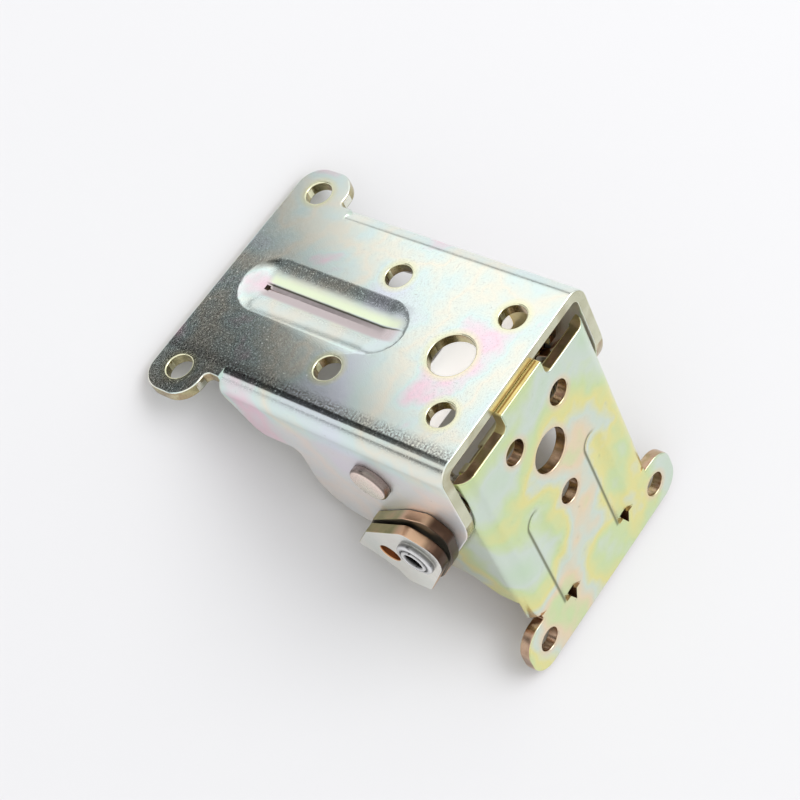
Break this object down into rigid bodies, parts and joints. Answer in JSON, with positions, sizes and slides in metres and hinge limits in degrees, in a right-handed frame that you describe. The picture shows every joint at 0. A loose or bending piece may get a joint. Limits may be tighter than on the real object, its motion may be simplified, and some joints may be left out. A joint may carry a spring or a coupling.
{
  "type": "self-locking folding hinge",
  "caption": "Folding leg or bench hinge of two pressed channel plates on a cross pin, with sprung lock pawls and a side release lever.",
  "frame": {"origin": "centre of the table plate's four-hole pattern, on its outer face", "axes": "+Z out of the table plate, +Y towards its two ears, X along the hinge axis with the release lever on the -X side"},
  "size_m": [0.0606, 0.0742, 0.0696],
  "materials": {
    "zinc_yellow": "yellow iridescent zinc plating",
    "pin_yellow": "yellow iridescent zinc plating on turned pin",
    "rivet_silver": "bright zinc plating",
    "spring_steel": "drawn spring wire"
  },
  "bodies": {
    "table": {"table_plate": "zinc_yellow", "pivot_pin": "pin_yellow", "pivot_spacer": "rivet_silver", "pivot_washer_near": "rivet_silver", "pivot_washer_far": "rivet_silver"},
    "leg": {"leg_plate": "zinc_yellow"},
    "lock": {"lock_shaft": "rivet_silver", "shaft_washer_far": "rivet_silver", "lever_inner_plate": "zinc_yellow", "lever_outer_plate": "zinc_yellow", "lever_washer": "rivet_silver", "pawl_near": "zinc_yellow", "pawl_far": "zinc_yellow", "sleeve_centre": "rivet_silver", "sleeve_near": "rivet_silver", "spring_near": "spring_steel", "spring_far": "spring_steel"}
  },
  "joints": [
    {"name": "leg_fold", "type": "hinge", "parent": "table", "child": "leg", "pos_m": [0, -0.0005, -0.0132], "axis": [1, 0, 0], "range_deg": [0, 90]},
    {"name": "release_lever", "type": "hinge", "parent": "table", "child": "lock", "pos_m": [0, -0.0095, -0.0272], "axis": [1, 0, 0], "range_deg": [-14, 0]}
  ]
}
